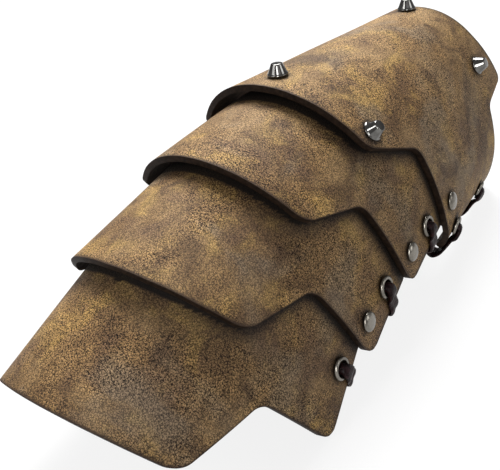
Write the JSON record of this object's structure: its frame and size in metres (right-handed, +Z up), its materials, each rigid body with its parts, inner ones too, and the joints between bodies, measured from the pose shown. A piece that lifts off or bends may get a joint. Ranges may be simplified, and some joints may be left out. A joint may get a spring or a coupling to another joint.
{
  "type": "layered leather bracer",
  "caption": "Forearm bracer of overlapping tongue-shaped leather lames, riveted at the sides, with cone studs on the wrist plate and a leather lace through eyelets underneath.",
  "frame": {"origin": "centre of the bounding box at its lowest level, where the leather's side corners stand on the ground", "axes": "+Z up through the ridge, +Y along the bracer from the elbow end (lame_4) to the wrist end (lame_1), +X to the side that the picture shows; the x = 0 plane halves it"},
  "size_m": [0.1185, 0.2682, 0.11],
  "materials": {
    "lame_leather": "waxed, distressed, mottled tan and dark brown",
    "lace_leather": "soft dark brown",
    "gunmetal": "dark polished",
    "old_nickel": "aged nickel"
  },
  "bodies": {
    "root": {"lame_1": "lame_leather", "lame_2": "lame_leather", "lame_3": "lame_leather", "lame_4": "lame_leather", "cone_stud_1": "gunmetal", "cone_stud_2": "gunmetal", "cone_stud_3": "gunmetal", "cone_stud_4": "gunmetal", "cone_stud_5": "gunmetal", "cone_stud_6": "gunmetal", "rivet_1_left": "old_nickel", "rivet_1_right": "old_nickel", "rivet_2_left": "old_nickel", "rivet_2_right": "old_nickel", "rivet_3_left": "old_nickel", "rivet_3_right": "old_nickel", "eyelet_1_left": "old_nickel", "eyelet_1_right": "old_nickel", "eyelet_2_left": "old_nickel", "eyelet_2_right": "old_nickel", "eyelet_3_left": "old_nickel", "eyelet_3_right": "old_nickel", "eyelet_4_left": "old_nickel", "eyelet_4_right": "old_nickel", "eyelet_5_left": "old_nickel", "eyelet_5_right": "old_nickel", "lace": "lace_leather", "lace_knot": "lace_leather"}
  },
  "joints": []
}
